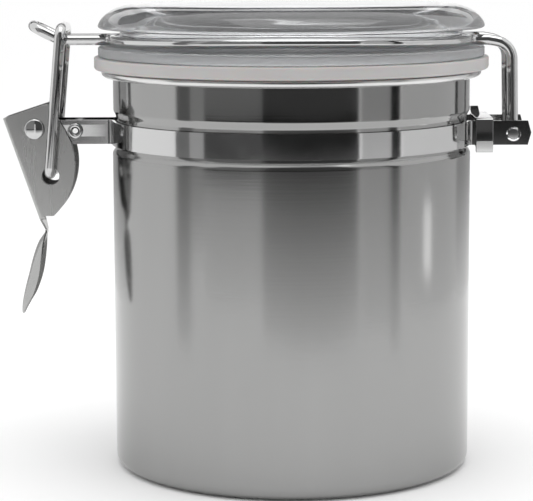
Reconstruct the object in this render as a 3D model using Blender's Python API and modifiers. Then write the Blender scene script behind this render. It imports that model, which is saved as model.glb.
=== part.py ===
"""A clip-top food canister: a drawn stainless can, a moulded clear lid on a silicone ring, and wire hardware.

Metres, +Z up. The origin is the centre of the flat base. The hinge is on +X and the latch on -X.
"""

from math import acos, atan2, cos, degrees, pi, radians, sin, sqrt, tan

import bmesh
import bpy
from mathutils import Matrix, Vector

# ---- the can ----
BODY_RADIUS = 0.0598
NECK_RADIUS = 0.0595
GROOVE_RADIUS = 0.0586
BASE_CORNER = 0.0034
CAN_WALL = 0.0006
GROOVE_LOW = 0.1076
GROOVE_HIGH = 0.1172
SHOULDER = 0.0026
RIM_CENTRE_Z = 0.13195
RIM_HALF_WIDTH = 0.00155
RIM_HALF_HEIGHT = 0.00095
CAN_STEPS = 48

# ---- the clamping band, in two halves ----
BAND_RADIUS = 0.0595
BAND_LOW = 0.10815
BAND_HEIGHT = 0.0080
STRIP = 0.0009
LATCH_EAR_Y = 0.00525
LATCH_EAR_END = -0.0888
HINGE_EAR_Y = 0.01195
HINGE_EAR_END = 0.0790
HINGE_EAR_POINT = 0.0011
EAR_BEND = 0.0020

# ---- joint axes, all along Y ----
HINGE = (0.0732, 0.1117)
LEVER_PIVOT = (-0.0854, 0.1132)
LOOP_PIVOT = (-0.08035, 0.09845)
CLAMP_RIVET = (-0.0719, 0.1126)

# ---- wire ----
WIRE = 0.00175
WIRE_RING_RADIUS = 0.0593
LID_WIRE_Z = 0.1426
LID_WIRE_ARCH = 0.0016
LID_WIRE_DROP = 0.0014
HINGE_LEG_Y = 0.0094
HINGE_PIN_END_Y = 0.0128
HAIRPIN_Y = 0.0045
HORN_START = (-0.0767, 0.1426)
HORN_TIP = (-0.0858, 0.1472)
LOOP_LEG_Y = 0.0100
LOOP_END_Y = 0.0046
LOOP_TOP = (-0.0759, 0.1466)

# ---- the lever ----
LEVER_SHEET = 0.0007
LEVER_HALF = 0.0067
LEVER_HOLE = (-0.08035, 0.0976)
LEVER_HOLE_RADIUS = 0.0029
LEVER_WEB_TOP = (-0.0960, 0.1167)
LEVER_WEB_FOOT = (-0.0829, 0.0785)
CHEEK_FOOT_Z = 0.0840
TAB_SHEET = 0.0006

# ---- the hinge clip ----
CLIP_START = 0.0608
CLIP_END = 0.0664
CLIP_SHEET = 0.0006
CLIP_FRONT_END = 0.1092
CLIP_LIP_LOW = 0.1056
CLIP_LUG_HIGH = 0.1197

# ---- how a flat outline is turned ----
SIDE_VIEW = (90, 0, 0)  # its own X and Y become X and Z
END_VIEW = (90, 0, 90)  # its own X and Y become Y and Z

# ---- fits ----
SHANK = 0.0016
RIVET_HOLE = 0.0019
HINGE_HOLE = 0.0024
GAP = 0.0003


def clear_scene():
    for old in list(bpy.data.objects):
        bpy.data.objects.remove(old)


def new_collection(name):
    group = bpy.data.collections.new(name)
    bpy.context.scene.collection.children.link(group)
    return group


def principled(name, colour, metallic, roughness, transmission=0.0):
    material = bpy.data.materials.new(name)
    material.use_nodes = True
    shader = material.node_tree.nodes["Principled BSDF"]
    shader.inputs["Base Color"].default_value = (*colour, 1.0)
    shader.inputs["Metallic"].default_value = metallic
    shader.inputs["Roughness"].default_value = roughness
    shader.inputs["Transmission Weight"].default_value = transmission
    return material


# ---------------------------------------------------------------- outlines and paths


def arc(centre, radius, start, end, steps, squash=1.0):
    """Points on an arc in a plane, angles in degrees, ends included."""
    turns = [radians(start + (end - start) * i / steps) for i in range(steps + 1)]
    return [(centre[0] + radius * cos(a), centre[1] + radius * squash * sin(a)) for a in turns]


def arc_through(first, middle, last, steps):
    """Points on the circle through three points, from the first to the last."""
    (ax, ay), (bx, by), (cx, cy) = first, middle, last
    d = 2 * (ax * (by - cy) + bx * (cy - ay) + cx * (ay - by))
    a2, b2, c2 = ax * ax + ay * ay, bx * bx + by * by, cx * cx + cy * cy
    ox = (a2 * (by - cy) + b2 * (cy - ay) + c2 * (ay - by)) / d
    oy = (a2 * (cx - bx) + b2 * (ax - cx) + c2 * (bx - ax)) / d
    radius = sqrt((ax - ox) ** 2 + (ay - oy) ** 2)
    start = atan2(ay - oy, ax - ox)
    turn = (atan2(cy - oy, cx - ox) - start) % (2 * pi)
    to_middle = (atan2(by - oy, bx - ox) - start) % (2 * pi)
    if to_middle > turn:
        turn -= 2 * pi
    return arc((ox, oy), radius, degrees(start), degrees(start + turn), steps)


def rounded(corners, radii, steps=4):
    """A line through 3-D corners, with each corner that has a radius turned into an arc."""
    path = [Vector(corners[0])]
    for i in range(1, len(corners) - 1):
        here = Vector(corners[i])
        back = (Vector(corners[i - 1]) - here).normalized()
        ahead = (Vector(corners[i + 1]) - here).normalized()
        if not radii[i]:
            path.append(here)
            continue
        half = acos(max(-1.0, min(1.0, back.dot(ahead)))) / 2
        centre = here + (back + ahead).normalized() * radii[i] / sin(half)
        first = here + back * radii[i] / tan(half) - centre
        last = here + ahead * radii[i] / tan(half) - centre
        swing = pi - 2 * half
        for k in range(steps + 1):
            t = swing * k / steps
            spoke = (first * sin(swing - t) + last * sin(t)) / sin(swing)
            path.append(centre + spoke)
    path.append(Vector(corners[-1]))
    return path


def half_hoop(radius, right_y, left_y, bend, steps):
    """The front half of a hoop seen from above, from a straight run on +X round to one on -X.

    The runs lie at y = -right_y and y = -left_y, and each meets the hoop in a bend.
    """
    reach = radius + bend
    right = (sqrt(reach**2 - (right_y + bend) ** 2), -(right_y + bend))
    left = (-sqrt(reach**2 - (left_y + bend) ** 2), -(left_y + bend))
    right_angle = degrees(atan2(right[1], right[0]))
    left_angle = degrees(atan2(left[1], left[0]))
    first = arc(right, bend, 90, 180 + right_angle, 4)
    hoop = arc((0, 0), radius, right_angle, left_angle, steps)
    last = arc(left, bend, left_angle + 180, 90, 4)
    return first + hoop[1:-1] + last


def mirrored(path):
    return [Vector((p[0], -p[1], p[2])) for p in reversed(path)]


# ---------------------------------------------------------------- making objects


def weld(mesh):
    work = bmesh.new()
    work.from_mesh(mesh)
    bmesh.ops.remove_doubles(work, verts=work.verts, dist=1e-6)
    bmesh.ops.recalc_face_normals(work, faces=work.faces)
    work.to_mesh(mesh)
    work.free()


def place(name, data, group, material=None, parent=None):
    """Put mesh or curve data in a collection, under an axis empty if it moves."""
    piece = bpy.data.objects.new(name, data)
    group.objects.link(piece)
    if material:
        data.materials.append(material)
    if parent:
        piece.parent = parent
        piece.location = -parent.location
    return piece


def axis_empty(name, axis, group, parent=None):
    """An empty on a joint's axis, for the pieces that turn about it."""
    empty = bpy.data.objects.new(name, None)
    empty.empty_display_size = 0.01
    group.objects.link(empty)
    empty.location = (axis[0], 0, axis[1])
    if parent:
        empty.parent = parent
        empty.location = empty.location - parent.location
    return empty


def turned(name, profile, steps, group, material=None, parent=None, closed=False):
    """A turned piece: a profile of (radius, height) swept round Z."""
    mesh = bpy.data.meshes.new(name)
    edges = [(i, i + 1) for i in range(len(profile) - 1)]
    if closed:
        edges.append((len(profile) - 1, 0))
    mesh.from_pydata([(r, 0, z) for r, z in profile], edges, [])
    piece = place(name, mesh, group, material, parent)
    screw = piece.modifiers.new("turn", "SCREW")
    screw.steps = steps
    screw.render_steps = steps
    screw.use_merge_vertices = True
    screw.merge_threshold = 1e-6
    return piece


def prism(name, outlines, half, turn, group, material=None, parent=None, shift=(0, 0, 0)):
    """A flat outline given a thickness of twice half, turned and shifted into place as a mesh."""
    curve = bpy.data.curves.new(name, "CURVE")
    curve.dimensions = "2D"
    curve.fill_mode = "BOTH"
    curve.extrude = half
    for outline in outlines:
        spline = curve.splines.new("POLY")
        spline.points.add(len(outline) - 1)
        for point, (u, v) in zip(spline.points, outline):
            point.co = (u, v, 0, 1)
        spline.use_cyclic_u = True
    source = place(name + "_outline", curve, group)
    source.rotation_euler = [radians(a) for a in turn]
    source.location = shift
    bpy.context.view_layer.update()
    graph = bpy.context.evaluated_depsgraph_get()
    mesh = bpy.data.meshes.new_from_object(source.evaluated_get(graph))
    mesh.transform(source.matrix_world)
    bpy.data.objects.remove(source)
    weld(mesh)
    return place(name, mesh, group, material, parent)


def wire(name, path, group, material, parent=None):
    """Round wire along a path, with flat cut ends."""
    curve = bpy.data.curves.new(name, "CURVE")
    curve.dimensions = "3D"
    curve.bevel_depth = WIRE
    curve.bevel_resolution = 2
    curve.use_fill_caps = True
    spline = curve.splines.new("POLY")
    spline.points.add(len(path) - 1)
    for point, place_of in zip(spline.points, path):
        point.co = (*place_of, 1)
    return place(name, curve, group, material, parent)


def cross_pin(name, axis, radius, half, cutters):
    """A cutter along Y, for a hole."""
    work = bmesh.new()
    bmesh.ops.create_cone(
        work,
        cap_ends=True,
        segments=24,
        radius1=radius,
        radius2=radius,
        depth=2 * half,
        matrix=Matrix.Rotation(pi / 2, 4, "X"),
    )
    mesh = bpy.data.meshes.new(name)
    work.to_mesh(mesh)
    work.free()
    pin = place(name, mesh, cutters)
    pin.location = (axis[0], 0, axis[1])
    return pin


def combine(piece, tool, operation="DIFFERENCE"):
    boolean = piece.modifiers.new(tool.name, "BOOLEAN")
    boolean.operation = operation
    boolean.object = tool
    boolean.solver = "EXACT"
    tool.hide_render = True
    tool.display_type = "WIRE"


def thicken(piece, thickness, offset):
    """offset 0 is centred, and 1 grows outwards along the normals, -1 inwards."""
    solid = piece.modifiers.new("sheet", "SOLIDIFY")
    solid.thickness = thickness
    solid.offset = offset
    solid.use_even_offset = True


# ---------------------------------------------------------------- the pieces


def canister_body(parts, steel):
    """The drawn can: flat base, straight wall, a groove for the band, a neck and a curled rim."""
    centre = (NECK_RADIUS + RIM_HALF_WIDTH, RIM_CENTRE_Z)
    squash = RIM_HALF_HEIGHT / RIM_HALF_WIDTH
    profile = arc(centre, RIM_HALF_WIDTH, -110, 180, 7, squash)
    depth = NECK_RADIUS - GROOVE_RADIUS
    rise = BODY_RADIUS - GROOVE_RADIUS
    for i in range(5):
        t = i / 4
        ease = t * t * (3 - 2 * t)
        profile.append((NECK_RADIUS - depth * ease, GROOVE_HIGH + SHOULDER * (1 - t)))
    for i in range(5):
        t = i / 4
        ease = t * t * (3 - 2 * t)
        profile.append((GROOVE_RADIUS + rise * ease, GROOVE_LOW - SHOULDER * t))
    profile += arc((BODY_RADIUS - BASE_CORNER, BASE_CORNER), BASE_CORNER, 0, -90, 5)
    profile.append((0, 0))
    body = turned("canister_body", profile, CAN_STEPS, parts, steel)
    thicken(body, CAN_WALL, -1)


def band_half(name, side, parts, cutters, steel):
    """Half of the clamping band, with an ear at each end. side is -1 in front and 1 behind."""
    path = [(HINGE_EAR_END, -HINGE_EAR_Y)]
    path += half_hoop(BAND_RADIUS, HINGE_EAR_Y, LATCH_EAR_Y, EAR_BEND, 36)
    path.append((LATCH_EAR_END, -LATCH_EAR_Y))
    rows = 5
    work = bmesh.new()
    grid = []
    for row in range(rows):
        t = 2 * row / (rows - 1) - 1
        line = []
        for i, (x, y) in enumerate(path):
            if i == 0:
                x -= HINGE_EAR_POINT * abs(t)
            if i == len(path) - 1:
                x += BAND_HEIGHT / 2 * (1 - sqrt(1 - t * t))
            line.append(work.verts.new((x, -side * y, BAND_LOW + BAND_HEIGHT * (t + 1) / 2)))
        for a, b in zip(line, line[1:]):
            work.edges.new((a, b))
        grid.append(line)
    for low, high in zip(grid, grid[1:]):
        edges = [work.edges.get((a, b)) for line in (low, high) for a, b in zip(line, line[1:])]
        bmesh.ops.bridge_loops(work, edges=edges)
    bmesh.ops.recalc_face_normals(work, faces=work.faces)
    mesh = bpy.data.meshes.new(name)
    work.to_mesh(mesh)
    work.free()
    band = place(name, mesh, parts, steel)
    thicken(band, STRIP, 0)
    for label, axis, radius in (
        ("hinge", HINGE, HINGE_HOLE),
        ("lever", LEVER_PIVOT, RIVET_HOLE),
        ("clamp", CLAMP_RIVET, RIVET_HOLE),
    ):
        combine(band, cross_pin(f"{name}_{label}_hole", axis, radius, 0.03, cutters))


def hinge_clip(parts, cutters, steel):
    """A strip wrapped round both hinge ears, its end hooked up in front and a lug turned up behind."""
    half_y = HINGE_EAR_Y + STRIP / 2 + GAP
    low = BAND_LOW - GAP
    high = BAND_LOW + BAND_HEIGHT + GAP
    sheet = CLIP_SHEET
    out_y, out_low, out_high = half_y + sheet, low - sheet, high + sheet
    inner = [(-half_y, low), (half_y, low), (half_y, high), (-half_y, high)]
    outer = [
        (-out_y, CLIP_FRONT_END + sheet),
        (-out_y - sheet, CLIP_FRONT_END + sheet),
        (-out_y - sheet, CLIP_FRONT_END),
        (-out_y - sheet / 2, CLIP_LIP_LOW + sheet / 2),
        (-out_y, CLIP_LIP_LOW),
        (-out_y + sheet, CLIP_LIP_LOW + sheet / 2),
        (-out_y + 2 * sheet, out_low),
        (out_y, out_low),
        (out_y, out_high),
        (-out_y, out_high),
    ]
    middle = ((CLIP_START + CLIP_END) / 2, 0, 0)
    half = (CLIP_END - CLIP_START) / 2
    clip = prism("hinge_clip", [outer, inner], half, END_VIEW, parts, steel, None, middle)
    foot = out_high - sheet / 2
    lug = [
        (CLIP_START, foot),
        (CLIP_START + 0.0028, foot),
        (CLIP_START + 0.0021, CLIP_LUG_HIGH),
        (CLIP_START - 0.0005, CLIP_LUG_HIGH),
        (CLIP_START - 0.0005, CLIP_LUG_HIGH - 0.0014),
    ]
    place_of_lug = (0, 0.0050, 0)
    combine(clip, prism("clip_lug", [lug], sheet / 2, SIDE_VIEW, cutters, None, None, place_of_lug), "UNION")


def turned_across(name, profile, axis, steps, group, material, closed=False):
    """A turned piece whose axis lies along Y."""
    piece = turned(name, profile, steps, group, material, None, closed)
    piece.rotation_euler = (pi / 2, 0, 0)
    piece.location = (axis[0], 0, axis[1])
    return piece


def lever_rivet(parts, steel):
    """The solid rivet that the lever turns on, through both cheeks and both latch ears."""
    under = LEVER_HALF + 0.00025
    head = arc((0, under), 0.0034, 90, 0, 5, 0.0010 / 0.0034)
    profile = head + [(SHANK, under)]
    profile += [(r, -z) for r, z in reversed(profile)]
    turned_across("lever_rivet", profile, LEVER_PIVOT, 20, parts, steel)


def clamp_rivet(parts, steel):
    """The tubular rivet that ties the latch ears together, its ends rolled over."""
    under = LATCH_EAR_Y + STRIP / 2 + GAP
    bore = 0.0009
    profile = [(bore, under + 0.0002), (0.0013, under + 0.0009)]
    profile += arc((0.0019, under + 0.00045), 0.00055, 90, -50, 4)
    profile += [(SHANK, under)]
    profile += [(r, -z) for r, z in reversed(profile)]
    turned_across("clamp_rivet", profile, CLAMP_RIVET, 16, parts, steel, closed=True)


def clamp_spacer(parts, steel):
    """The tube on the tubular rivet that keeps the latch ears apart."""
    half = LATCH_EAR_Y - STRIP / 2 - GAP
    profile = [(0.0026, half), (0.0026, -half), (SHANK + GAP, -half), (SHANK + GAP, half)]
    turned_across("clamp_spacer", profile, CLAMP_RIVET, 16, parts, steel, closed=True)


def lever(parts, cutters, steel, pivot):
    """The stamped lever: two cheeks joined by a web along the outer edge, and a cupped finger tab."""
    run = Vector(LEVER_WEB_FOOT) - Vector(LEVER_WEB_TOP)
    along = run.normalized()
    inward = Vector((-along.y, along.x))
    web_top, web_foot = Vector(LEVER_WEB_TOP), Vector(LEVER_WEB_FOOT)
    strip_beside_web = inward * 0.0022
    cheek_corner = web_top + strip_beside_web
    cheek_corner += along * ((cheek_corner.y - CHEEK_FOOT_Z) / -along.y)

    crest = (-0.0807, 0.1215)
    waist = (-0.0731, 0.1086)
    cheek_foot = (-0.0796, CHEEK_FOOT_Z)
    cheek = [LEVER_WEB_TOP, (-0.0820, 0.12135)]
    cheek += arc_through(crest, (-0.0772, 0.1163), waist, 5)
    cheek += arc_through(waist, (-0.0724, 0.0972), cheek_foot, 9)[1:]
    cheek += [tuple(cheek_corner), tuple(web_foot + strip_beside_web), LEVER_WEB_FOOT]
    body = prism("lever", [cheek], LEVER_HALF, SIDE_VIEW, parts, steel, pivot)

    top = web_top + inward * LEVER_SHEET - along * 0.02
    low = web_foot + inward * LEVER_SHEET + along * 0.02
    across = inward * 0.06
    hollow = [tuple(p) for p in (top, low, low + across, top + across)]
    combine(body, prism("lever_hollow", [hollow], LEVER_HALF - LEVER_SHEET, SIDE_VIEW, cutters))
    combine(body, cross_pin("lever_loop_hole", LEVER_HOLE, LEVER_HOLE_RADIUS, 0.02, cutters))
    combine(body, cross_pin("lever_rivet_hole", LEVER_PIVOT, RIVET_HOLE, 0.02, cutters))
    for side, label in ((-1, "front"), (1, "rear")):
        taper = [(0.0024, 0.0770), (0.0090, 0.0770), (0.0090, 0.0857), (0.0024, 0.0791)]
        outline = [(side * y, z) for y, z in taper]
        beside = (LEVER_WEB_FOOT[0], 0, 0)
        combine(body, prism(f"lever_taper_{label}", [outline], 0.0030, END_VIEW, cutters, None, None, beside))
    combine(body, finger_tab(cutters), "UNION")


def finger_tab(cutters):
    """The tab as a cupped leaf, on a narrow stem that starts inside the web."""
    # the back of the leaf as x and z, then its half width and how far its edges stand forward
    stations = [
        (-0.08346, 0.0812, 0.0019, 0.0000),
        (-0.08290, 0.0796, 0.0019, 0.0000),
        (-0.08290, 0.0780, 0.0024, 0.0002),
        (-0.08390, 0.0765, 0.0038, 0.0008),
        (-0.08520, 0.0745, 0.0052, 0.0018),
        (-0.08640, 0.0716, 0.0062, 0.0027),
        (-0.08755, 0.0680, 0.0065, 0.0034),
        (-0.08860, 0.0640, 0.0063, 0.0038),
        (-0.08960, 0.0604, 0.0058, 0.0038),
        (-0.09050, 0.0568, 0.0048, 0.0033),
        (-0.09110, 0.0536, 0.0035, 0.0020),
        (-0.09130, 0.0514, 0.0022, 0.0010),
        (-0.09125, 0.0502, 0.0010, 0.0005),
    ]
    across_steps = 6
    work = bmesh.new()
    columns = []
    for k in range(across_steps + 1):
        part = 2 * k / across_steps - 1
        line = [work.verts.new((x + cup * part * part, part * half, z)) for x, z, half, cup in stations]
        columns.append(line)
        for a, b in zip(line, line[1:]):
            work.edges.new((a, b))
    for left, right in zip(columns, columns[1:]):
        edges = [work.edges.get((a, b)) for line in (left, right) for a, b in zip(line, line[1:])]
        bmesh.ops.bridge_loops(work, edges=edges)
    bmesh.ops.recalc_face_normals(work, faces=work.faces)
    mesh = bpy.data.meshes.new("lever_tab")
    work.to_mesh(mesh)
    work.free()
    tab = place("lever_tab", mesh, cutters)
    thicken(tab, TAB_SHEET, 0)
    return tab


def latch_loop(parts, steel, pivot):
    """The sprung bail: its ends turn in the lever's cheeks and its crossbar hooks behind the horn."""
    x, z = LOOP_PIVOT
    front = [(x, -LOOP_END_Y, z), (x, -LOOP_LEG_Y, z), (LOOP_TOP[0], -LOOP_LEG_Y, LOOP_TOP[1])]
    corners = front + [(a, -b, c) for a, b, c in reversed(front)]
    path = rounded(corners, [0, 0.0024, 0.0036, 0.0036, 0.0024, 0])
    wire("latch_loop", path, parts, steel, pivot)


def lid_wire(parts, steel, pivot):
    """One wire: hinge pin, leg, round the lid's groove to the horn, and back the same way behind.

    The ring is arched a little, highest halfway between the hinge and the horn, so that it springs.
    """
    hoop = half_hoop(WIRE_RING_RADIUS, HINGE_LEG_Y, HAIRPIN_Y, 0.0028, 40)
    front = [
        (HINGE[0], -HINGE_PIN_END_Y, HINGE[1]),
        (HINGE[0], -HINGE_LEG_Y, HINGE[1]),
        (HINGE[0] - 0.0006, -HINGE_LEG_Y, LID_WIRE_Z - LID_WIRE_DROP),
        (0.0647, -HINGE_LEG_Y, LID_WIRE_Z),
    ]
    for x, y in hoop:
        rise = max(0.0, (-y - HINGE_LEG_Y) / (WIRE_RING_RADIUS - HINGE_LEG_Y))
        front.append((x, y, LID_WIRE_Z + LID_WIRE_ARCH * rise**2))
    radii = [0, 0.0021, 0.0062, 0.0040] + [0] * len(hoop)
    front.append((HORN_START[0], -HAIRPIN_Y, HORN_START[1]))
    radii.append(0.0050)
    rise = (Vector(HORN_TIP) - Vector(HORN_START)).normalized()
    turn_at = Vector(HORN_TIP) - rise * HAIRPIN_Y
    front.append((turn_at.x, -HAIRPIN_Y, turn_at.y))
    radii.append(0)
    path = rounded(front, radii)
    path.pop()
    for u, v in arc((0, 0), HAIRPIN_Y, -90, 0, 4):
        path.append(Vector((turn_at.x + rise.x * u, v, turn_at.y + rise.y * u)))
    wire("lid_wire", path + mirrored(path)[1:], parts, steel, pivot)


def lid(parts, clear, pivot):
    """The moulded lid: domed top flange, groove for the wire, bottom flange and a hollow plug."""
    plug, hollow = 0.0566, 0.0525
    profile = [(0, 0.1550), (0.0300, 0.15495), (0.0507, 0.1545), (0.0560, 0.1538), (0.0595, 0.1525)]
    profile += [(0.0616, 0.1512), (0.0634, 0.14925), (0.0642, 0.1476), (0.0638, 0.1467)]
    profile += [(0.0600, 0.1465), (0.0571, 0.1460), (0.0568, 0.1435), (0.0571, 0.1410), (0.0600, 0.1405)]
    profile += [(0.0639, 0.1404), (0.0642, 0.1399), (0.0642, 0.1378), (0.0638, 0.1374)]
    profile += [(plug, 0.1372), (plug - 0.0003, 0.1300), (plug - 0.0008, 0.1295)]
    profile += [(hollow + 0.0008, 0.1295), (hollow + 0.0003, 0.1300), (hollow, 0.1470)]
    profile += [(hollow - 0.0012, 0.1496), (hollow - 0.0045, 0.1508), (0.0300, 0.1512), (0, 0.1513)]
    turned("lid", profile, CAN_STEPS, parts, clear, pivot)


def lid_gasket(parts, silicone, pivot):
    """The silicone ring between the lid's bottom flange and the can's rim.

    A lip goes down inside the neck, and the outer edge hangs a little way over the rim.
    """
    inner, outer = 0.0570, 0.0656
    low, high, edge_low = 0.1338, 0.1371, 0.1330
    over_rim = 0.0636
    profile = [(inner, high), (outer - 0.0003, high), (outer, high - 0.0004)]
    profile += arc((outer - 0.0010, edge_low + 0.0010), 0.0010, 0, -90, 3)
    profile += [(over_rim + 0.0003, edge_low), (over_rim, edge_low + 0.0003), (over_rim, low)]
    profile += [(0.0586, low), (0.0584, 0.1314), (0.0580, 0.1310), (inner + 0.0003, 0.1310), (inner, 0.1314)]
    turned("lid_gasket", profile, CAN_STEPS, parts, silicone, pivot, closed=True)


def build():
    clear_scene()
    parts = new_collection("food_canister")
    cutters = new_collection("cutters")
    satin = principled("satin_stainless", (0.60, 0.60, 0.59), 1.0, 0.24)
    bright = principled("bright_steel", (0.72, 0.72, 0.72), 1.0, 0.10)
    clear = principled("clear_acrylic", (0.86, 0.88, 0.90), 0.0, 0.06, 0.9)
    silicone = principled("milky_silicone", (0.80, 0.81, 0.81), 0.0, 0.45, 0.3)

    canister_body(parts, satin)
    band_half("band_front", -1, parts, cutters, bright)
    band_half("band_rear", 1, parts, cutters, bright)
    hinge_clip(parts, cutters, bright)
    clamp_rivet(parts, bright)
    clamp_spacer(parts, bright)
    lever_rivet(parts, bright)

    lid_axis = axis_empty("lid_hinge_axis", HINGE, parts)
    lid_wire(parts, bright, lid_axis)
    lid(parts, clear, lid_axis)
    lid_gasket(parts, silicone, lid_axis)

    lever_axis = axis_empty("lever_pivot_axis", LEVER_PIVOT, parts)
    lever(parts, cutters, bright, lever_axis)
    loop_axis = axis_empty("loop_pivot_axis", LOOP_PIVOT, parts)
    latch_loop(parts, bright, loop_axis)


build()
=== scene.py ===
from math import acos, atan2, cos, degrees, pi, radians, sin, sqrt, tan

import bmesh
import bpy
from mathutils import Matrix, Vector


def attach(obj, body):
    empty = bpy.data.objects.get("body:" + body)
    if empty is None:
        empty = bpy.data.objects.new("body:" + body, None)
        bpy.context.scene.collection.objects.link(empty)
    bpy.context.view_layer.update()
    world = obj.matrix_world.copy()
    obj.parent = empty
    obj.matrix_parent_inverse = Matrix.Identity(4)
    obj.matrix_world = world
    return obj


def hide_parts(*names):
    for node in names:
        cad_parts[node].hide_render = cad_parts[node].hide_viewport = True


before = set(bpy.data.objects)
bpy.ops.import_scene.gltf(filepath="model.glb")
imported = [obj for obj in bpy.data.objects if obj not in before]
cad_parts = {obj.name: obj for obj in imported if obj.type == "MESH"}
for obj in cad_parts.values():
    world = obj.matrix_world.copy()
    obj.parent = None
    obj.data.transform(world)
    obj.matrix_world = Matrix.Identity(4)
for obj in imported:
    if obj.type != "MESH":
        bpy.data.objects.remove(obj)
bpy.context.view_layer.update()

# ---- camera, floor and light ----
# A white sweep and a soft overhead light. Black and grey flags and one bright card stand round the table, as
# in a studio for polished steel; they show only in reflections, and give the can its upright stripes.
EYE = Vector((0.0, -0.70566, 0.17718))
LOOK_DOWN = 0.149
LOOK_LEFT = 0.012
TILT = -0.004
lens = bpy.data.cameras.new("camera")
lens.lens = 142.46
lens.sensor_width = 36
lens.clip_start = 0.01
camera = bpy.data.objects.new("camera", lens)
camera.matrix_world = (
    Matrix.Translation(EYE)
    @ Matrix.Rotation(LOOK_LEFT, 4, "Z")
    @ Matrix.Rotation(pi / 2 - LOOK_DOWN, 4, "X")
    @ Matrix.Rotation(TILT, 4, "Z")
)
bpy.context.scene.collection.objects.link(camera)
bpy.context.scene.camera = camera
bpy.context.scene.view_settings.view_transform = "Standard"

room = bpy.data.worlds.new("white_room")
room.use_nodes = True
walls = room.node_tree.nodes["Background"].inputs
walls["Color"].default_value = (1.0, 1.0, 1.0, 1.0)
walls["Strength"].default_value = 1.05
bpy.context.scene.world = room


FLOOR_GREY = 0.95
FOOT_GREY = 0.9
ROOM_FLOOR_GAP = 0.0004


def card(name, size, matrix, grey, glow=0.0):
    """A flat matt card, part of the studio and not of the can."""
    work = bmesh.new()
    bmesh.ops.create_grid(work, x_segments=1, y_segments=1, size=0.5)
    bmesh.ops.scale(work, verts=work.verts, vec=(*size, 1))
    mesh = bpy.data.meshes.new(name)
    work.to_mesh(mesh)
    work.free()
    made = bpy.data.objects.new(name, mesh)
    made.matrix_world = matrix
    coat = bpy.data.materials.new(name)
    coat.use_nodes = True
    shader = coat.node_tree.nodes["Principled BSDF"]
    shader.inputs["Base Color"].default_value = (grey, grey, grey, 1)
    shader.inputs["Roughness"].default_value = 0.9
    shader.inputs["Specular IOR Level"].default_value = 0.1
    shader.inputs["Emission Color"].default_value = (1, 1, 1, 1)
    shader.inputs["Emission Strength"].default_value = glow
    mesh.materials.append(coat)
    bpy.context.scene.collection.objects.link(made)
    return made


def flag(name, x, y, width, low, high, grey, glow=0.0, fade=0.085):
    """An upright card that faces the can and shows only in reflections, paler from the height fade down."""
    turn = Matrix.Rotation(atan2(x, -y), 4, "Z") @ Matrix.Rotation(pi / 2, 4, "X")
    middle = (low + high) / 2
    place = Matrix.Translation((x, y, middle)) @ turn
    made = card(name, (width, high - low), place, grey, glow)
    tree = made.data.materials[0].node_tree
    where = tree.nodes.new("ShaderNodeTexCoord")
    split = tree.nodes.new("ShaderNodeSeparateXYZ")
    paler = tree.nodes.new("ShaderNodeMapRange")
    paler.inputs["From Min"].default_value = fade - middle
    paler.inputs["From Max"].default_value = -middle
    paler.inputs["To Min"].default_value = grey
    paler.inputs["To Max"].default_value = FOOT_GREY
    tree.links.new(where.outputs["Object"], split.inputs[0])
    tree.links.new(split.outputs["Y"], paler.inputs["Value"])
    tree.links.new(paler.outputs["Result"], tree.nodes["Principled BSDF"].inputs["Base Color"])
    made.visible_camera = False
    made.visible_diffuse = False
    made.visible_shadow = False
    made.visible_transmission = False


card("floor", (40, 40), Matrix.Translation((0, 0, -ROOM_FLOOR_GAP)), FLOOR_GREY)
# each flag's place, width, lowest and highest edge, and grey
flag("flag_front_low", 0.061, -0.302, 0.325, 0.0, 0.098, 0.006, fade=0.086)
flag("flag_front_high", 0.061, -0.302, 0.325, 0.098, 0.55, 0.075)
flag("flag_left_foot", -0.2365, -0.3435, 0.27, 0.0, 0.060, 0.60, fade=0.06)
flag("flag_left_low", -0.2365, -0.3435, 0.27, 0.060, 0.088, 0.05, fade=0.06)
flag("flag_left_high", -0.2365, -0.3435, 0.27, 0.088, 0.55, 0.24)
flag("flag_side_left", -0.449, -0.292, 0.18, 0.0, 0.40, 0.38, fade=0.05)
flag("flag_by_ear", -0.160, -0.600, 0.13, 0.045, 0.125, 0.90)
flag("flag_front_right", 0.270, -0.218, 0.126, 0.0, 0.40, 0.46, fade=0.10)
flag("flag_side_right", 0.36, 0.05, 0.40, 0.0, 0.25, 0.72, fade=0.06)
flag("flag_behind_left", -0.232, 0.286, 0.25, 0.0, 0.25, 0.42, fade=0.06)
flag("flag_behind_right", 0.232, 0.286, 0.25, 0.0, 0.25, 0.42, fade=0.06)
flag("flag_left", -0.272, -0.126, 0.052, 0.0, 0.30, 0.18)
flag("flag_right", 0.266, -0.140, 0.034, 0.0, 0.30, 0.010)
flag("flag_upper", 0.0, -0.50, 1.2, 0.26, 0.80, 0.01)
flag("flag_behind_low", 0.1, 1.2, 2.2, 0.36, 0.52, 0.02)
flag("flag_behind_high", -0.2, 1.2, 2.2, 0.75, 1.25, 0.02)
flag("bright_card", 0.335, -0.009, 0.040, 0.022, 0.056, 0.5, 1.1)

softbox = bpy.data.lights.new("softbox", "AREA")
softbox.shape = "RECTANGLE"
softbox.size = 0.9
softbox.size_y = 0.7
softbox.energy = 3.0
overhead = bpy.data.objects.new("softbox", softbox)
overhead.location = (0.1, -0.15, 1.1)
bpy.context.scene.collection.objects.link(overhead)


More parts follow.
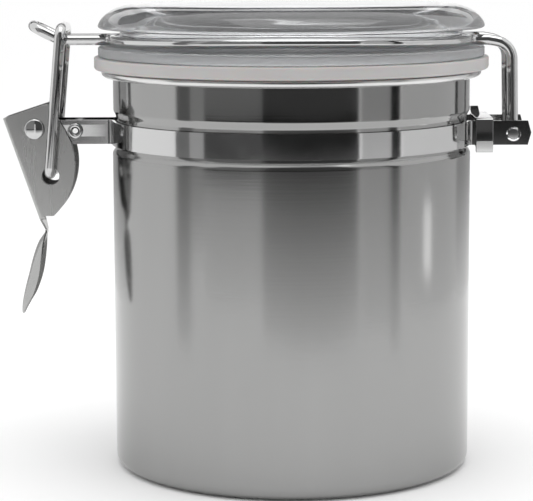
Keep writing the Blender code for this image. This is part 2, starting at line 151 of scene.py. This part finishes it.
# ---- the can ----
# Drawn from one disc of stainless sheet: flat base, straight wall, a rolled groove that the band sits in, a
# neck, and a rim curled outwards. Polished as it turns, which leaves fine lines round it, and left as drawn
# inside.
class Number:
    """A number socket, on which Python's operators add Math nodes."""

    def __init__(self, tree, socket):
        self.tree = tree
        self.socket = socket

    def math(self, operation, *values):
        node = self.tree.nodes.new("ShaderNodeMath")
        node.operation = operation
        for entry, value in zip(node.inputs, values):
            if isinstance(value, Number):
                self.tree.links.new(value.socket, entry)
            else:
                entry.default_value = value
        return Number(self.tree, node.outputs[0])

    def __add__(self, other):
        return self.math("ADD", self, other)

    def __mul__(self, other):
        return self.math("MULTIPLY", self, other)

    def __gt__(self, other):
        return self.math("GREATER_THAN", self, other)

    def __lt__(self, other):
        return self.math("LESS_THAN", self, other)

    __radd__ = __add__
    __rmul__ = __mul__


class Finish:
    """A material: plain numbers for its shader, then nodes for what varies over the surface."""

    def __init__(self, name, **plain):
        self.material = bpy.data.materials.new(name)
        self.material.use_nodes = True
        self.tree = self.material.node_tree
        self.shader = self.tree.nodes["Principled BSDF"]
        for key, value in plain.items():
            self.shader.inputs[key.replace("_", " ")].default_value = value

    def node(self, kind, settings, inputs, out=0):
        """A node of a kind, with its settings made first and its sockets then set or linked."""
        made = self.tree.nodes.new("ShaderNode" + kind)
        for key, value in settings.items():
            setattr(made, key, value)
        for key, value in inputs.items():
            self.join(value, made.inputs[key])
        return made.outputs[out]

    def join(self, value, entry):
        if isinstance(value, Number):
            value = value.socket
        if isinstance(value, bpy.types.NodeSocket):
            self.tree.links.new(value, entry)
        else:
            entry.default_value = value

    def object_place(self):
        return self.node("TexCoord", {}, {}, "Object")

    def height(self):
        return Number(self.tree, self.node("SeparateXYZ", {}, {0: self.object_place()}, "Z"))

    def grain(self, stretch, scale, detail=2.0):
        """Noise about 0.5 on the piece's own coordinates, stretched by a factor along each axis."""
        spread = self.node("Mapping", {}, {"Vector": self.object_place(), "Scale": stretch})
        sockets = {"Vector": spread, "Scale": scale, "Detail": detail}
        return Number(self.tree, self.node("TexNoise", {"normalize": True}, sockets))

    def colour_between(self, share, low, high):
        """A colour between two, by a share from 0 to 1."""
        sockets = {0: share, 6: (*low, 1), 7: (*high, 1)}
        return self.node("Mix", {"data_type": "RGBA", "clamp_factor": True}, sockets, 2)

    def set(self, **sockets):
        for key, value in sockets.items():
            self.join(value, self.shader.inputs[key.replace("_", " ")])

    def bump(self, height, strength, distance):
        return self.node("Bump", {}, {"Height": height, "Strength": strength, "Distance": distance})


can_wall = 0.0006
body_radius, neck_radius, groove_radius = 0.0598, 0.0595, 0.0586
base_corner = 0.0034
groove_low, groove_high, shoulder = 0.1076, 0.1172, 0.0026
rim_z, rim_half_width, rim_half_height = 0.13195, 0.00155, 0.00095
satin = Finish("satin_stainless", Metallic=1.0, Anisotropic=0.4)
turning = satin.grain((0.02, 0.02, 1), 1500.0, 2.0)
broad = satin.grain((1, 1, 0.06), 60.0)
smudge = satin.grain((1, 1, 0.6), 24.0, 4.0)
body_wall = satin.height() < groove_low
satin.set(
    Base_Color=satin.colour_between(broad * 0.6 + smudge * 0.4, (0.31, 0.31, 0.307), (0.355, 0.355, 0.352)),
    Roughness=0.06 + turning * 0.03 + smudge * 0.04 + body_wall * 0.05,
    Normal=satin.bump(turning, 0.10, 0.00003),
)
inside = Finish("satin_inside", Metallic=1.0)
cloudy = inside.grain((1, 1, 0.6), 24.0, 4.0)
drawn_lines = inside.grain((1, 1, 0.05), 300.0, 2.0)
inside.set(
    Base_Color=inside.colour_between(cloudy, (0.66, 0.66, 0.655), (0.74, 0.74, 0.735)),
    Roughness=0.18 + drawn_lines * 0.10,
    Normal=inside.bump(drawn_lines, 0.08, 0.00003),
)


def arc(centre, radius, start, end, steps, squash=1.0):
    """Points on an arc in a plane, angles in degrees, ends included."""
    turns = [radians(start + (end - start) * i / steps) for i in range(steps + 1)]
    return [(centre[0] + radius * cos(a), centre[1] + radius * squash * sin(a)) for a in turns]


def ease(first, last, steps):
    """Points on an S-shaped step from one place to another, upright at both ends."""
    line = []
    for i in range(steps + 1):
        t = i / steps
        share = t * t * (3 - 2 * t)
        line.append((first[0] + (last[0] - first[0]) * share, first[1] + (last[1] - first[1]) * t))
    return line


def spun(profile, steps, closed=False):
    """A profile of (radius, height) spun round Z."""
    work = bmesh.new()
    line = [work.verts.new((r, 0, z)) for r, z in profile]
    edges = [work.edges.new(pair) for pair in zip(line, line[1:])]
    if closed:
        edges.append(work.edges.new((line[-1], line[0])))
    bmesh.ops.spin(
        work, geom=line + edges, cent=(0, 0, 0), axis=(0, 0, 1), angle=2 * pi, steps=steps, use_merge=True
    )
    return work


def finished(name, work, material, body, nodes=(), sharp=40, open_up=False):
    """Close a bmesh into a piece that rides on a body and stands for CAD nodes.

    open_up is for a thin cup, whose faces are turned away from the origin.
    """
    bmesh.ops.remove_doubles(work, verts=work.verts, dist=1e-6)
    bmesh.ops.recalc_face_normals(work, faces=work.faces)
    if open_up and sum(f.normal.dot(f.calc_center_median()) for f in work.faces) < 0:
        bmesh.ops.reverse_faces(work, faces=work.faces)
    mesh = bpy.data.meshes.new(name)
    work.to_mesh(mesh)
    work.free()
    mesh.shade_smooth()
    mesh.set_sharp_from_angle(angle=radians(sharp))
    mesh.materials.append(material)
    piece = bpy.data.objects.new(name, mesh)
    bpy.context.scene.collection.objects.link(piece)
    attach(piece, body)
    if nodes:
        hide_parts(*nodes)
    return piece


def thicken(piece, thickness, offset, inner_slot=0):
    """offset 0 is centred on the sheet, -1 grows inwards. inner_slot is the inner side's material."""
    sheet = piece.modifiers.new("sheet", "SOLIDIFY")
    sheet.thickness = thickness
    sheet.offset = offset
    sheet.use_even_offset = True
    sheet.material_offset = inner_slot


def soften(piece, width, segments=3, angle=35):
    """Round off edges sharper than an angle."""
    round_edge = piece.modifiers.new("soften", "BEVEL")
    round_edge.width = width
    round_edge.segments = segments
    round_edge.limit_method = "ANGLE"
    round_edge.angle_limit = radians(angle)
    round_edge.harden_normals = True


can_profile = arc(
    (neck_radius + rim_half_width, rim_z), rim_half_width, -110, 180, 24, rim_half_height / rim_half_width
)
# rings close to each end of a wall keep its shading upright
can_profile += [(neck_radius, rim_z - 0.0005), (neck_radius, groove_high + shoulder + 0.0005)]
can_profile += ease((neck_radius, groove_high + shoulder), (groove_radius, groove_high), 12)
can_profile += ease((groove_radius, groove_low), (body_radius, groove_low - shoulder), 12)
can_profile += [(body_radius, groove_low - shoulder - 0.0005), (body_radius, base_corner + 0.0010)]
can_profile += arc((body_radius - base_corner, base_corner), base_corner, 0, -90, 14)
can_profile += [(0.03, 0), (0, 0)]
can = finished(
    "can", spun(can_profile, 224), satin.material, "canister", ["canister_body"], open_up=True
)
can.data.materials.append(inside.material)
thicken(can, can_wall, -1, 1)

# ---- the clamping band ----
# Two strips of polished steel, each bent round half of the groove and out into an ear at both ends, with the
# strip's rolled edges left round and holes punched for the hinge wire and the rivets.
bright = Finish("bright_steel", Metallic=1.0)
rub = bright.grain((1, 1, 1), 160.0, 4.0)
film = bright.grain((1, 1, 1), 30.0, 2.0)
bright.set(
    Base_Color=bright.colour_between(film, (0.54, 0.54, 0.54), (0.64, 0.64, 0.64)),
    Roughness=0.05 + rub * 0.05 + film * 0.04,
    Normal=bright.bump(rub, 0.05, 0.00004),
)
strip = 0.0009
band_radius, band_low, band_height = 0.0595, 0.10815, 0.0080
hinge_ear_y, latch_ear_y = 0.01195, 0.00525
hinge_ear_end, hinge_ear_point, latch_ear_end = 0.0790, 0.0011, -0.0888
hinge_axis = (0.0732, 0.1117)
lever_axis = (-0.0854, 0.1132)
clamp_axis = (-0.0719, 0.1126)


def half_hoop(radius, right_y, left_y, bend, steps, bend_steps):
    """The front half of a hoop seen from above, between straight runs out on +X and on -X."""
    reach = radius + bend
    right = (sqrt(reach**2 - (right_y + bend) ** 2), -(right_y + bend))
    left = (-sqrt(reach**2 - (left_y + bend) ** 2), -(left_y + bend))
    right_angle = degrees(atan2(right[1], right[0]))
    left_angle = degrees(atan2(left[1], left[0]))
    first = arc(right, bend, 90, 180 + right_angle, bend_steps)
    hoop = arc((0, 0), radius, right_angle, left_angle, steps)
    last = arc(left, bend, left_angle + 180, 90, bend_steps)
    return first + hoop[1:-1] + last


def bored(piece, axis, radius):
    """Drill right through a piece along Y."""
    work = bmesh.new()
    bmesh.ops.create_cone(
        work,
        cap_ends=True,
        segments=40,
        radius1=radius,
        radius2=radius,
        depth=0.06,
        matrix=Matrix.Translation((axis[0], 0, axis[1])) @ Matrix.Rotation(pi / 2, 4, "X"),
    )
    cut(piece, work)


def cut(piece, work):
    """Take a bmesh away from a piece, and apply it."""
    bmesh.ops.recalc_face_normals(work, faces=work.faces)
    mesh = bpy.data.meshes.new("cutter")
    work.to_mesh(mesh)
    work.free()
    tool = bpy.data.objects.new("cutter", mesh)
    bpy.context.scene.collection.objects.link(tool)
    boolean = piece.modifiers.new("cut", "BOOLEAN")
    boolean.operation = "DIFFERENCE"
    boolean.solver = "EXACT"
    boolean.object = tool
    settle(piece)
    bpy.data.objects.remove(tool)


def settle(piece):
    """Apply a piece's modifiers to its mesh."""
    graph = bpy.context.evaluated_depsgraph_get()
    mesh = bpy.data.meshes.new_from_object(piece.evaluated_get(graph))
    piece.modifiers.clear()
    piece.data = mesh


for name, side in (("band_front", -1), ("band_rear", 1)):
    plan = [(hinge_ear_end, -hinge_ear_y)]
    plan += half_hoop(band_radius, hinge_ear_y, latch_ear_y, 0.0020, 120, 10)
    plan.append((latch_ear_end, -latch_ear_y))
    work = bmesh.new()
    line = [work.verts.new((x, -side * y, band_low)) for x, y in plan]
    rim = [work.edges.new(pair) for pair in zip(line, line[1:])]
    rows = 16
    for _ in range(rows):
        lifted = bmesh.ops.extrude_edge_only(work, edges=rim)["geom"]
        rim = [g for g in lifted if isinstance(g, bmesh.types.BMEdge)]
        raised = [g for g in lifted if isinstance(g, bmesh.types.BMVert)]
        bmesh.ops.translate(work, verts=raised, vec=(0, 0, band_height / rows))
    for vert in work.verts:
        t = 2 * (vert.co.z - band_low) / band_height - 1
        if vert.co.x > hinge_ear_end - 1e-5:
            vert.co.x -= hinge_ear_point * abs(t)
        if vert.co.x < latch_ear_end + 1e-5:
            vert.co.x += band_height / 2 * (1 - sqrt(max(0.0, 1 - t * t)))
    band = finished(f"{name}_strip", work, bright.material, "canister", [name])
    thicken(band, strip, 0)
    bored(band, hinge_axis, 0.0024)
    bored(band, lever_axis, 0.0019)
    bored(band, clamp_axis, 0.0019)
    soften(band, 0.00028, 4)

# ---- the hinge clip ----
# A short strip folded round both hinge ears to hold them together. Its outer end is hooked up again in front
# of the foot of the front face, and a lug is turned up from the top.
def rounded(corners, radii, steps=8):
    """A line through 3-D corners, with each corner that has a radius turned into an arc."""
    path = [Vector(corners[0])]
    for i in range(1, len(corners) - 1):
        here = Vector(corners[i])
        if not radii[i]:
            path.append(here)
            continue
        back = (Vector(corners[i - 1]) - here).normalized()
        ahead = (Vector(corners[i + 1]) - here).normalized()
        half = acos(max(-1.0, min(1.0, back.dot(ahead)))) / 2
        centre = here + (back + ahead).normalized() * radii[i] / sin(half)
        first = here + back * radii[i] / tan(half) - centre
        last = here + ahead * radii[i] / tan(half) - centre
        swing = pi - 2 * half
        for k in range(steps + 1):
            t = swing * k / steps
            path.append(centre + (first * sin(swing - t) + last * sin(t)) / sin(swing))
    path.append(Vector(corners[-1]))
    return path


clip_sheet = 0.0006
clip_start, clip_end = 0.0608, 0.0664
clip_y = hinge_ear_y + strip / 2 + 0.0003 + clip_sheet / 2
clip_low = band_low - 0.0003 - clip_sheet / 2
clip_high = band_low + band_height + 0.0003 + clip_sheet / 2
lip_top, lip_low = 0.1095, 0.1059
fold = rounded(
    [
        (clip_start, -clip_y - clip_sheet, lip_top),
        (clip_start, -clip_y - clip_sheet / 2, lip_low),
        (clip_start, -clip_y + 0.0010, lip_low + 0.0002),
        (clip_start, -clip_y + 0.0016, clip_low),
        (clip_start, clip_y, clip_low),
        (clip_start, clip_y, clip_high),
        (clip_start, -clip_y, clip_high),
        (clip_start, -clip_y, lip_top - 0.0003),
    ],
    [0, 0.0005, 0.0005, 0.0004, 0.0007, 0.0007, 0.0007, 0],
)
work = bmesh.new()
line = [work.verts.new(p) for p in fold]
edges = [work.edges.new(pair) for pair in zip(line, line[1:])]
spread = bmesh.ops.extrude_edge_only(work, edges=edges)["geom"]
far_side = [g for g in spread if isinstance(g, bmesh.types.BMVert)]
bmesh.ops.translate(work, verts=far_side, vec=(clip_end - clip_start, 0, 0))
clip = finished("clip_strip", work, bright.material, "canister", ["hinge_clip"])
thicken(clip, clip_sheet, 0)
soften(clip, 0.00016, 3)

lug_y, lug_high = 0.0050, 0.1197
lug_outline = [
    (clip_start, clip_high),
    (clip_start + 0.0028, clip_high),
    (clip_start + 0.0021, lug_high),
    (clip_start - 0.0005, lug_high),
    (clip_start - 0.0005, lug_high - 0.0014),
]
work = bmesh.new()
plate = work.faces.new([work.verts.new((x, lug_y + clip_sheet / 2, z)) for x, z in lug_outline])
grown = bmesh.ops.extrude_face_region(work, geom=[plate])["geom"]
front_side = [g for g in grown if isinstance(g, bmesh.types.BMVert)]
bmesh.ops.translate(work, verts=front_side, vec=(0, -clip_sheet, 0))
lug = finished("clip_lug", work, bright.material, "canister")
soften(lug, 0.00016, 3)

# ---- the rivets ----
# The lever turns on a solid rivet with a low domed head on each side. The two latch ears are tied together by
# a tubular rivet, rolled over at both ends, with a spacer tube round it.
def turned_across(profile, axis, steps, closed=False):
    """A spun profile laid along Y through a point of the side view."""
    work = spun(profile, steps, closed)
    bmesh.ops.rotate(work, verts=work.verts, cent=(0, 0, 0), matrix=Matrix.Rotation(pi / 2, 3, "X"))
    bmesh.ops.translate(work, verts=work.verts, vec=(axis[0], 0, axis[1]))
    return work


lever_half, lever_sheet = 0.0067, 0.0007
shank = 0.0016
under_head = lever_half + 0.00025
head = arc((0, under_head), 0.0034, 90, 0, 14, 0.0010 / 0.0034) + [(0.00335, under_head), (shank, under_head)]
rivet_profile = head + [(r, -z) for r, z in reversed(head)]
finished(
    "pivot_rivet", turned_across(rivet_profile, lever_axis, 64), bright.material, "canister",
    ["lever_rivet"],
)
under_roll = latch_ear_y + strip / 2 + 0.0003
roll = [(0.0009, under_roll - 0.0006), (0.0009, under_roll + 0.0003)]
roll += arc((0.00185, under_roll + 0.00030), 0.00072, 150, -30, 12) + [(shank, under_roll)]
tube_profile = roll + [(r, -z) for r, z in reversed(roll)]
finished(
    "tube_rivet", turned_across(tube_profile, clamp_axis, 64, True), bright.material, "canister",
    ["clamp_rivet"],
)
spacer_half = latch_ear_y - strip / 2 - 0.0003
spacer_profile = [(0.0026, spacer_half), (0.0026, -spacer_half), (0.0019, -spacer_half), (0.0019, spacer_half)]
spacer = finished(
    "spacer_tube", turned_across(spacer_profile, clamp_axis, 64, True), bright.material, "canister",
    ["clamp_spacer"],
)
soften(spacer, 0.0001, 2)

# ---- the lever ----
# Stamped from sheet and given a satin polish: two cheeks bent forward from a web along the outer edge, which
# narrows at the foot to a stem, and below it a finger tab pressed into a long cupped leaf.
lever_finish = Finish("satin_sheet", Metallic=1.0)
drawn = lever_finish.grain((1, 1, 0.05), 500.0, 3.0)
patch = lever_finish.grain((1, 1, 1), 70.0, 3.0)
lever_finish.set(
    Base_Color=lever_finish.colour_between(patch, (0.40, 0.40, 0.395), (0.46, 0.46, 0.455)),
    Roughness=0.18 + drawn * 0.10 + patch * 0.06,
    Normal=lever_finish.bump(drawn, 0.08, 0.00003),
)


def arc_through(first, middle, last, steps):
    """Points on the circle through three points, from the first to the last."""
    (ax, ay), (bx, by), (cx, cy) = first, middle, last
    d = 2 * (ax * (by - cy) + bx * (cy - ay) + cx * (ay - by))
    a2, b2, c2 = ax * ax + ay * ay, bx * bx + by * by, cx * cx + cy * cy
    ox = (a2 * (by - cy) + b2 * (cy - ay) + c2 * (ay - by)) / d
    oy = (a2 * (cx - bx) + b2 * (ax - cx) + c2 * (bx - ax)) / d
    radius = sqrt((ax - ox) ** 2 + (ay - oy) ** 2)
    start = atan2(ay - oy, ax - ox)
    turn = (atan2(cy - oy, cx - ox) - start) % (2 * pi)
    if (atan2(by - oy, bx - ox) - start) % (2 * pi) > turn:
        turn -= 2 * pi
    return arc((ox, oy), radius, degrees(start), degrees(start + turn), steps)


def slab(outline, half):
    """A side-view outline given a width of twice half along Y."""
    work = bmesh.new()
    flat = work.faces.new([work.verts.new((x, -half, z)) for x, z in outline])
    grown = bmesh.ops.extrude_face_region(work, geom=[flat])["geom"]
    across = [g for g in grown if isinstance(g, bmesh.types.BMVert)]
    bmesh.ops.translate(work, verts=across, vec=(0, 2 * half, 0))
    bmesh.ops.recalc_face_normals(work, faces=work.faces)
    return work


def edges_between(work, first, second, across=False):
    """Edges that run from one side-view point to another, or along Y at the first."""
    found = []
    for edge in work.edges:
        ends = [Vector((v.co.x, v.co.z)) for v in edge.verts]
        wanted = (first, first) if across else (first, second)
        if all(min((end - Vector(w)).length for end in ends) < 1e-6 for w in wanted):
            if all(min((end - Vector(w)).length for w in wanted) < 1e-6 for end in ends):
                found.append(edge)
    return found


web_top, web_foot = (-0.0960, 0.1167), (-0.0829, 0.0785)
along = (Vector(web_foot) - Vector(web_top)).normalized()
inward = Vector((-along.y, along.x))
cheek_foot_z = 0.0840
beside_web = inward * 0.0022
cheek_corner = Vector(web_top) + beside_web
cheek_corner += along * ((cheek_corner.y - cheek_foot_z) / -along.y)
cheek = [web_top, (-0.0820, 0.12135)]
cheek += arc_through((-0.0807, 0.1215), (-0.0772, 0.1163), (-0.0731, 0.1086), 16)
cheek += arc_through((-0.0731, 0.1086), (-0.0724, 0.0972), (-0.0796, cheek_foot_z), 28)[1:]
cheek += [tuple(cheek_corner), tuple(Vector(web_foot) + beside_web), web_foot]
work = slab(cheek, lever_half)
bends = edges_between(work, web_top, web_foot)
bmesh.ops.bevel(work, geom=bends, offset=0.0011, segments=5, profile=0.5, affect="EDGES", material=-1)
lever = finished("lever_channel", work, lever_finish.material, "latch_lever", ["lever"], 50)

top = Vector(web_top) + inward * lever_sheet - along * 0.02
low = Vector(web_foot) + inward * lever_sheet + along * 0.02
hollow = [tuple(p) for p in (top, low, low + inward * 0.06, top + inward * 0.06)]
work = slab(hollow, lever_half - lever_sheet)
bends = edges_between(work, hollow[0], hollow[1])
bmesh.ops.bevel(work, geom=bends, offset=0.0005, segments=3, profile=0.5, affect="EDGES", material=-1)
cut(lever, work)
bored(lever, (-0.08035, 0.0976), 0.0029)
bored(lever, lever_axis, 0.0019)
for side in (-1, 1):
    work = bmesh.new()
    taper = [(0.0024, 0.0770), (0.0090, 0.0770), (0.0090, 0.0857), (0.0024, 0.0791)]
    end = work.faces.new([work.verts.new((web_foot[0] - 0.0030, side * y, z)) for y, z in taper])
    grown = bmesh.ops.extrude_face_region(work, geom=[end])["geom"]
    inner_end = [g for g in grown if isinstance(g, bmesh.types.BMVert)]
    bmesh.ops.translate(work, verts=inner_end, vec=(0.0060, 0, 0))
    cut(lever, work)
soften(lever, 0.00028, 4, 40)


def smooth_line(points, steps):
    """More points along a smooth curve through a few, each a tuple of numbers."""
    line = []
    for i in range(len(points) - 1):
        a, b, c, d = (points[max(0, min(len(points) - 1, i + k))] for k in (-1, 0, 1, 2))
        for k in range(steps):
            t = k / steps
            bends = [(2 * p - 5 * q + 4 * r - s, 3 * q - p - 3 * r + s) for p, q, r, s in zip(a, b, c, d)]
            slopes = [r - p for p, r in zip(a, c)]
            line.append(
                tuple(
                    0.5 * (2 * q + slope * t + square * t**2 + cube * t**3)
                    for q, slope, (square, cube) in zip(b, slopes, bends)
                )
            )
    line.append(tuple(points[-1]))
    return line


# the back of the leaf as x and z, then its half width and how far its edges stand forward
leaf = smooth_line(
    [
        (-0.08346, 0.0812, 0.0019, 0.0000),
        (-0.08290, 0.0796, 0.0019, 0.0000),
        (-0.08290, 0.0780, 0.0024, 0.0002),
        (-0.08390, 0.0765, 0.0038, 0.0008),
        (-0.08520, 0.0745, 0.0052, 0.0018),
        (-0.08640, 0.0716, 0.0062, 0.0027),
        (-0.08755, 0.0680, 0.0065, 0.0034),
        (-0.08860, 0.0640, 0.0063, 0.0038),
        (-0.08960, 0.0604, 0.0058, 0.0038),
        (-0.09050, 0.0568, 0.0048, 0.0033),
        (-0.09110, 0.0536, 0.0035, 0.0020),
        (-0.09130, 0.0514, 0.0022, 0.0010),
        (-0.09125, 0.0502, 0.0010, 0.0005),
    ],
    5,
)
work = bmesh.new()
bmesh.ops.create_grid(work, x_segments=24, y_segments=len(leaf) - 1, size=1)
for vert in work.verts:
    back, height, half, cup = leaf[round((1 - vert.co.y) / 2 * (len(leaf) - 1))]
    vert.co = (back + cup * vert.co.x**2, vert.co.x * half, height)
tab = finished("finger_tab", work, lever_finish.material, "latch_lever")
thicken(tab, 0.0006, 0)
soften(tab, 0.0002, 3)


# ---- the latch loop ----
# Spring wire bent to an upside-down U. Its ends turn inwards through the lever's cheeks, and its crossbar
# hooks behind the horn.
def wire(name, path, body, node):
    """Round wire of the hardware's one gauge, with flat cut ends."""
    curve = bpy.data.curves.new(name, "CURVE")
    curve.dimensions = "3D"
    curve.bevel_depth = 0.00175
    curve.bevel_resolution = 7
    curve.use_fill_caps = True
    spline = curve.splines.new("POLY")
    spline.points.add(len(path) - 1)
    for point, place in zip(spline.points, path):
        point.co = (*place, 1)
    spline.use_smooth = True
    curve.materials.append(bright.material)
    piece = bpy.data.objects.new(name, curve)
    bpy.context.scene.collection.objects.link(piece)
    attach(piece, body)
    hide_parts(node)


loop_x, loop_z, loop_leg_y, loop_end_y = -0.08035, 0.09845, 0.0100, 0.0046
crossbar = (-0.0759, 0.1466)
front = [
    (loop_x, -loop_end_y, loop_z),
    (loop_x, -loop_leg_y, loop_z),
    (crossbar[0], -loop_leg_y, crossbar[1]),
]
corners = front + [(x, -y, z) for x, y, z in reversed(front)]
wire("bail", rounded(corners, [0, 0.0024, 0.0036, 0.0036, 0.0024, 0], 12), "latch_bail", "latch_loop")

# ---- the lid wire ----
# One length of the same wire. Its ends are the hinge pins, turned outwards in the ears; from there it climbs,
# bends over to the lid, lies round both sides of its groove and meets in a hairpin bent up as the horn. The
# ring is arched a little, so that it springs when the latch pulls it down.
ring_radius, ring_z, ring_arch, leg_drop = 0.0593, 0.1426, 0.0016, 0.0014
leg_y, pin_end_y, hairpin_y = 0.0094, 0.0128, 0.0045
horn_start, horn_tip = Vector((-0.0767, 0.1426)), Vector((-0.0858, 0.1472))
hoop = half_hoop(ring_radius, leg_y, hairpin_y, 0.0028, 140, 10)
front = [
    (hinge_axis[0], -pin_end_y, hinge_axis[1]),
    (hinge_axis[0], -leg_y, hinge_axis[1]),
    (hinge_axis[0] - 0.0006, -leg_y, ring_z - leg_drop),
    (0.0647, -leg_y, ring_z),
]
for x, y in hoop:
    rise = max(0.0, (-y - leg_y) / (ring_radius - leg_y))
    front.append((x, y, ring_z + ring_arch * rise**2))
front.append((horn_start.x, -hairpin_y, horn_start.y))
rise = (horn_tip - horn_start).normalized()
turn_at = horn_tip - rise * hairpin_y
front.append((turn_at.x, -hairpin_y, turn_at.y))
path = rounded(front, [0, 0.0021, 0.0062, 0.0040] + [0] * len(hoop) + [0.0050, 0], 12)[:-1]
path += [(turn_at.x + rise.x * u, v, turn_at.y + rise.y * u) for u, v in arc((0, 0), hairpin_y, -90, 0, 12)]
path += [(p[0], -p[1], p[2]) for p in reversed(path[:-1])]
wire("ring_wire", path, "lid_frame", "lid_wire")

# The sheared ends of the pins are left matt.
for side, name in ((-1, "pin_end_front"), (1, "pin_end_rear")):
    end = [(0, pin_end_y + 0.00014), (0.0011, pin_end_y + 0.00011), (0.0016, pin_end_y + 0.00002)]
    end += [(0.0017, pin_end_y - 0.0001), (0.0017, pin_end_y - 0.0003), (0, pin_end_y - 0.0003)]
    work = turned_across([(r, -side * z) for r, z in end], hinge_axis, 40)
    finished(name, work, lever_finish.material, "lid_frame")

# ---- the lid ----
# Moulded in clear acrylic: a domed top with a full round edge, a groove for the wire under it, a frosted
# flange that presses on the seal, and a hollow plug that drops into the neck.
clear = Finish(
    "clear_acrylic",
    Metallic=0.0,
    IOR=1.49,
    Transmission_Weight=0.93,
)
haze = clear.grain((1, 1, 1), 45.0, 3.0)
frost_low, frost_high = 0.1366, 0.1436
frosted = (clear.height() > frost_low) * (clear.height() < frost_high)
flow = clear.grain((1, 1, 5), 16.0, 2.0)
clear.set(
    Base_Color=clear.colour_between(haze, (0.90, 0.91, 0.925), (0.96, 0.965, 0.97)),
    Roughness=0.02 + haze * 0.04 + frosted * 0.40,
    Normal=clear.bump(flow + clear.grain((1, 1, 1), 220.0, 2.0) * 0.01, 0.5, 0.0014),
)
plug, hollow_radius = 0.0566, 0.0525
top_edge = [(0.0, 0.1550), (0.0300, 0.15493), (0.0445, 0.15475), (0.0507, 0.1545), (0.0560, 0.1538)]
top_edge += [(0.0595, 0.1525), (0.0616, 0.1512), (0.0634, 0.14925), (0.0642, 0.1476)]
lid_profile = smooth_line(top_edge, 5)
lid_profile += arc((0.0636, 0.1472), 0.0006, 0, -90, 4)
lid_profile += smooth_line([(0.0600, 0.1465), (0.0577, 0.1462), (0.0569, 0.1450), (0.0568, 0.1435)], 4)
lid_profile += smooth_line([(0.0569, 0.1420), (0.0577, 0.1408), (0.0600, 0.1405)], 4)
lid_profile += arc((0.0637, 0.1399), 0.0005, 90, 0, 4) + arc((0.0637, 0.1379), 0.0005, 0, -90, 4)
lid_profile += [(plug, 0.1373), (plug - 0.0003, 0.1302)]
lid_profile += arc((plug - 0.0010, 0.1302), 0.0007, 0, -90, 4)
lid_profile += arc((hollow_radius + 0.0009, 0.1302), 0.0007, -90, -180, 4)
lid_profile += smooth_line([(hollow_radius, 0.1450), (hollow_radius - 0.0004, 0.1478), (0.0510, 0.1497)], 5)
lid_profile += smooth_line([(0.0480, 0.1508), (0.0400, 0.1512), (0.0200, 0.1513), (0.0, 0.1513)], 5)
finished("clear_lid", spun(lid_profile, 224), clear.material, "lid_frame", ["lid"], 60)

# ---- the sealing ring ----
# Milky silicone, moulded as a flat ring with a rounded lower edge and a lip that wipes the inside of the neck.
silicone = Finish(
    "milky_silicone",
    Metallic=0.0,
    IOR=1.41,
    Subsurface_Weight=0.4,
    Subsurface_Scale=0.003,
    Transmission_Weight=0.10,
)
cloud = silicone.grain((1, 1, 1), 60.0, 3.0)
silicone.set(
    Base_Color=silicone.colour_between(cloud, (0.44, 0.435, 0.43), (0.51, 0.505, 0.50)),
    Roughness=0.30 + cloud * 0.15,
    Normal=silicone.bump(silicone.grain((1, 1, 1), 500.0), 0.06, 0.00008),
)
ring_inner, ring_outer, ring_low, ring_high, edge_low = 0.0570, 0.0656, 0.1338, 0.1371, 0.1330
over_rim = 0.0636
ring_profile = [(ring_inner, ring_high)] + arc((ring_outer - 0.0005, ring_high - 0.0005), 0.0005, 90, 0, 4)
ring_profile += arc((ring_outer - 0.0010, edge_low + 0.0010), 0.0010, 0, -90, 6)
ring_profile += arc((over_rim + 0.0003, edge_low + 0.0003), 0.0003, -90, -180, 3) + [(over_rim, ring_low)]
ring_profile += [(0.0586, ring_low), (0.0584, 0.1315), (0.0580, 0.1310), (0.0574, 0.1310), (ring_inner, 0.1315)]
finished(
    "sealing_ring", spun(ring_profile, 224, True), silicone.material, "lid_frame",
    ["lid_gasket"], 50,
)
